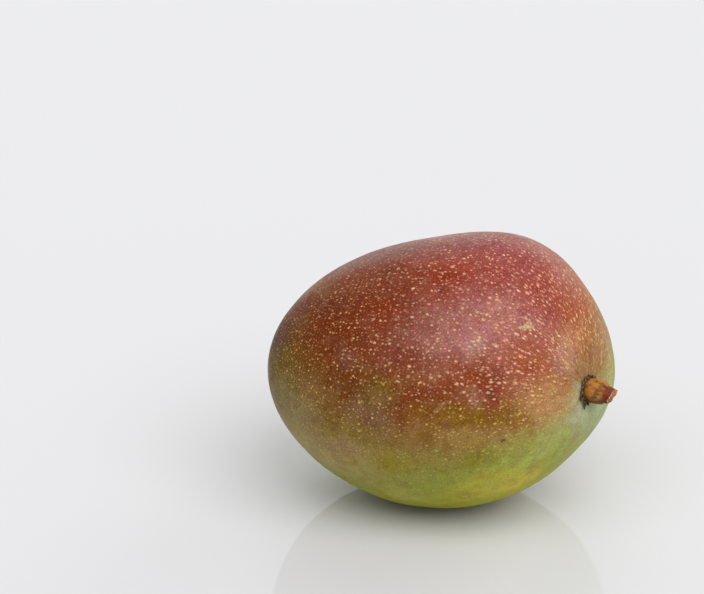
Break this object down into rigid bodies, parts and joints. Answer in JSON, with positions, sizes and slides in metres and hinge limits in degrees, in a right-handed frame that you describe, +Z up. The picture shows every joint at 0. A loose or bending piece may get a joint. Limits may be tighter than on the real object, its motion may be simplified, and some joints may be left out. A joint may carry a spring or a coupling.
{
  "type": "mango",
  "caption": "Whole round-shouldered mango lying on its side on a small flat spot, with a short cut stem and dried calyx.",
  "frame": {"origin": "on the surface that the fruit rests on, under the middle of the whole part's box", "axes": "+X along the fruit's length to the stem end, +Z up, Y across"},
  "size_m": [0.12, 0.099, 0.0914],
  "materials": {
    "skin": "smooth waxy fruit skin, satin, crimson blush over olive and yellow-green, with pale dots",
    "stem": "dry matt woody stem, tan knuckle and red-brown neck",
    "calyx": "dried matt scales, nearly black brown"
  },
  "bodies": {
    "root": {"fruit": "skin", "stem": "stem", "calyx": "calyx"}
  },
  "joints": []
}
